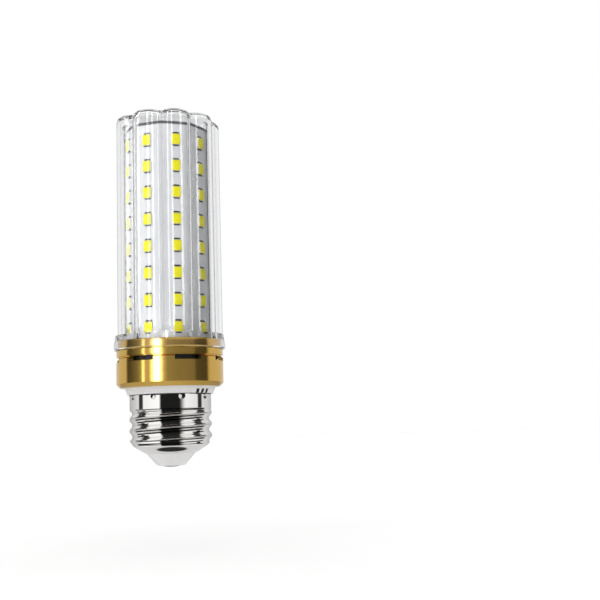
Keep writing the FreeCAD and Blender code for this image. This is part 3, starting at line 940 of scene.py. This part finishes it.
# Narrow upright lamps before the lobes of the cover, which only its gloss mirrors
stripLights = {
    "radius": 24.0,
    "bottomZ": 44.5,
    "topZ": 124.0,
    "places": ((-50.8, 5.4), (-18.4, 2.5), (-2.7, 2.5), (24.0, 2.7)),  # bearing and width
    "radiance": 12.0,
}


def makeFloor(shape, paint):
    bm = bmesh.new()
    segments = shape["floorSegments"]
    bmesh.ops.create_grid(bm, x_segments=segments, y_segments=segments, size=shape["floorSize"] / 2)
    bmesh.ops.translate(bm, vec=(0, 0, shape["floorZ"]), verts=bm.verts)
    floor = toObject(bm, "paleFloor", paint)
    floor.visible_glossy = False
    floor.visible_transmission = False


def bearingRamp(nodes, links, stops, brightest, turn):
    # a colour ramp whose two ends meet behind the bulb
    ramp = nodes.new("ShaderNodeValToRGB")
    ramp.color_ramp.interpolation = "EASE"
    elements = ramp.color_ramp.elements
    elements.remove(elements[1])
    for index, (bearing, brightness) in enumerate(stops):
        place = (bearing + 180) / 360
        element = elements[0] if index == 0 else elements.new(place)
        element.position = place
        element.color = (*[brightness / brightest] * 3, 1)
    links.new(turn, ramp.inputs["Fac"])
    return ramp.outputs["Color"]


def calculator(nodes, links):
    # returns a function that adds a math node to this tree
    def calculate(operation, *values):
        node = nodes.new("ShaderNodeMath")
        node.operation = operation
        for index, value in enumerate(values):
            if isinstance(value, (int, float)):
                node.inputs[index].default_value = value
            else:
                links.new(value, node.inputs[index])
        return node.outputs[0]
    return calculate


def turnOf(calculate, parts):
    # the bearing of a direction or place, from 0 to 1
    turn = calculate("ARCTAN2", parts.outputs["X"], calculate("MULTIPLY", parts.outputs["Y"], -1.0))
    return calculate("ADD", calculate("DIVIDE", turn, 2 * pi), 0.5)


def makeLight(shape):
    world = bpy.data.worlds.new("studioLight")
    bpy.context.scene.world = world
    world.use_nodes = True
    nodes, links = world.node_tree.nodes, world.node_tree.links
    nodes.clear()
    calculate = calculator(nodes, links)
    coords = nodes.new("ShaderNodeTexCoord")
    parts = nodes.new("ShaderNodeSeparateXYZ")
    links.new(coords.outputs["Generated"], parts.inputs[0])
    turn = turnOf(calculate, parts)

    def blend(factor, first, second):
        mixed = nodes.new("ShaderNodeMix")
        mixed.data_type = "RGBA"
        links.new(factor, mixed.inputs["Factor"])
        for value, entry in ((first, "A"), (second, "B")):
            if isinstance(value, float):
                mixed.inputs[entry].default_value = (*[value / shape["brightest"]] * 3, 1)
            else:
                links.new(value, mixed.inputs[entry])
        return mixed.outputs["Result"]

    def softStep(value, low, high):
        step = nodes.new("ShaderNodeMapRange")
        step.interpolation_type = "SMOOTHSTEP"
        step.inputs["From Min"].default_value = low
        step.inputs["From Max"].default_value = high
        links.new(value, step.inputs["Value"])
        return step.outputs["Result"]

    ramps = {name: bearingRamp(nodes, links, shape[name], shape["brightest"], turn)
             for name in ("matt", "inside", "through")}
    height = calculate("ARCSINE", parts.outputs["Z"])

    def between(value, limits):
        return softStep(value, *[radians(limit) for limit in limits])

    def shaded(value, amount, shade):
        # the value times a shade, as far as the amount reaches
        mixed = nodes.new("ShaderNodeMix")
        mixed.data_type, mixed.blend_type = "RGBA", "MULTIPLY"
        links.new(amount, mixed.inputs["Factor"])
        links.new(value, mixed.inputs["A"])
        links.new(shade, mixed.inputs["B"])
        return mixed.outputs["Result"]

    # the bearing and tilt of the surface that mirrors this direction to the front
    ahead = calculate("SUBTRACT", 1.0, parts.outputs["Y"])
    bearing = calculate("ARCTAN2", parts.outputs["X"], ahead)
    facing = calculate("ADD", calculate("DIVIDE", bearing, pi), 0.5)
    squares = [calculate("POWER", side, 2.0) for side in (ahead, parts.outputs["X"])]
    tilt = calculate("ARCTAN2", parts.outputs["Z"], calculate("SQRT", calculate("ADD", *squares)))
    mirrored = bearingRamp(nodes, links, shape["mirrored"], shape["brightest"], facing)
    for name, source, level in (("posts", turn, height), ("shoulders", facing, tilt), ("sill", facing, tilt)):
        foot, top = between(level, shape[name + "Foot"]), between(level, shape[name + "Top"])
        reach = calculate("SUBTRACT", foot, top)
        mirrored = shaded(mirrored, reach, bearingRamp(nodes, links, shape[name], 1.0, source))
    mirrored = blend(between(tilt, shape["steep"]), shape["steepBrightness"], mirrored)
    offsets = []
    for angle, middle, reach in ((bearing, "lensBearing", "lensWidth"), (tilt, "lensTilt", "lensHeight")):
        offset = calculate("SUBTRACT", angle, radians(shape[middle]))
        offset = calculate("DIVIDE", offset, radians(shape[reach]))
        offsets.append(calculate("MULTIPLY", offset, offset))
    outsideLens = softStep(calculate("ADD", *offsets), *shape["lensEdge"])
    mirrored = blend(outsideLens, shape["lensBrightness"], mirrored)
    rays = nodes.new("ShaderNodeLightPath")
    through = calculate("GREATER_THAN", rays.outputs["Transmission Depth"], 0.5)
    seen = blend(through, mirrored, ramps["through"])
    matt = blend(through, ramps["matt"], ramps["inside"])
    matt = blend(between(height, shape["overheadRise"]), matt, shape["overhead"])
    seen = blend(calculate("GREATER_THAN", rays.outputs["Diffuse Depth"], 0.5), seen, matt)
    seen = blend(rays.outputs["Is Camera Ray"], seen, shape["background"])
    room = nodes.new("ShaderNodeBackground")
    room.inputs["Strength"].default_value = shape["brightest"]
    links.new(seen, room.inputs["Color"])
    output = nodes.new("ShaderNodeOutputWorld")
    links.new(room.outputs[0], output.inputs["Surface"])


def makeScreen(name, shape):
    bm = bmesh.new()
    verts = [bm.verts.new(bearingPoint(-180, radius, z)) for radius, z in shape["line"]]
    bmesh.ops.spin(bm, geom=verts + [bm.edges.new(verts)], cent=(0, 0, 0), axis=(0, 0, 1), angle=2 * pi,
                   steps=screenSteps, use_merge=True)
    material = bpy.data.materials.new(name + "Glow")
    material.use_nodes = True
    nodes, links = material.node_tree.nodes, material.node_tree.links
    nodes.clear()
    calculate = calculator(nodes, links)
    coords = nodes.new("ShaderNodeTexCoord")
    parts = nodes.new("ShaderNodeSeparateXYZ")
    links.new(coords.outputs["Object"], parts.inputs[0])
    glow = nodes.new("ShaderNodeEmission")
    glow.inputs["Strength"].default_value = shape["brightest"]
    ramp = bearingRamp(nodes, links, shape["glow"], shape["brightest"], turnOf(calculate, parts))
    links.new(ramp, glow.inputs["Color"])
    out = nodes.new("ShaderNodeOutputMaterial")
    links.new(glow.outputs[0], out.inputs["Surface"])
    screen = toObject(bm, name, material)
    for kind in ("camera", "diffuse", "volume_scatter", "shadow"):
        setattr(screen, f"visible_{kind}", False)
    screen.visible_transmission = name == "ringScreen"  # the ring is seen through the skirt of the cover


def makeStripLight(name, shape, bearing, width):
    height = (shape["topZ"] - shape["bottomZ"]) * mm
    data = bpy.data.lights.new(name, "AREA")
    data.shape = "RECTANGLE"
    data.size, data.size_y = width * mm, height
    data.energy = shape["radiance"] * pi * data.size * data.size_y
    light = bpy.data.objects.new(name, data)
    bpy.context.scene.collection.objects.link(light)
    place = bearingPoint(bearing, shape["radius"], (shape["topZ"] + shape["bottomZ"]) / 2)
    turn = (-Vector((*place.xy, 0))).to_track_quat("-Z", "Y").to_matrix().to_4x4()
    light.matrix_world = Matrix.Translation(place * mm) @ turn
    for kind in ("camera", "diffuse", "transmission", "volume_scatter"):
        setattr(light, f"visible_{kind}", False)


photoCamera = {
    "distance": 311.34,
    "height": 12.0,
    "focalPixels": 954.0,
    "framePixels": 600.0,
    "sensor": 36.0,
    "clip": (0.01, 20.0),
    "yaw": 7.87,
    "pitch": 7.46,
    "roll": -1.78,
}


def makeCamera(shape):
    data = bpy.data.cameras.new("photoCamera")
    data.sensor_width = shape["sensor"]
    data.lens = shape["focalPixels"] / shape["framePixels"] * shape["sensor"]
    data.clip_start, data.clip_end = shape["clip"]
    camera = bpy.data.objects.new("photoCamera", data)
    bpy.context.scene.collection.objects.link(camera)
    turn = Matrix.Rotation(radians(-shape["yaw"]), 4, "Z")
    turn = turn @ Matrix.Rotation(radians(90 + shape["pitch"]), 4, "X")
    turn = turn @ Matrix.Rotation(radians(shape["roll"]), 4, "Z")
    camera.matrix_world = Matrix.Translation((0, -shape["distance"] * mm, shape["height"] * mm)) @ turn
    bpy.context.scene.camera = camera


makeFloor(studio, makeFinish("paleFloorPaint", floorFinish))
makeLight(studio)
makeScreen("ringScreen", ringScreen)
makeScreen("capShelf", capShelf)
makeScreen("footShelf", footShelf)
for index, (bearing, width) in enumerate(stripLights["places"]):
    makeStripLight(f"coverStrip{index + 1}", stripLights, bearing, width)
makeCamera(photoCamera)
bpy.context.scene.view_settings.view_transform = "Standard"

print("stage: done")
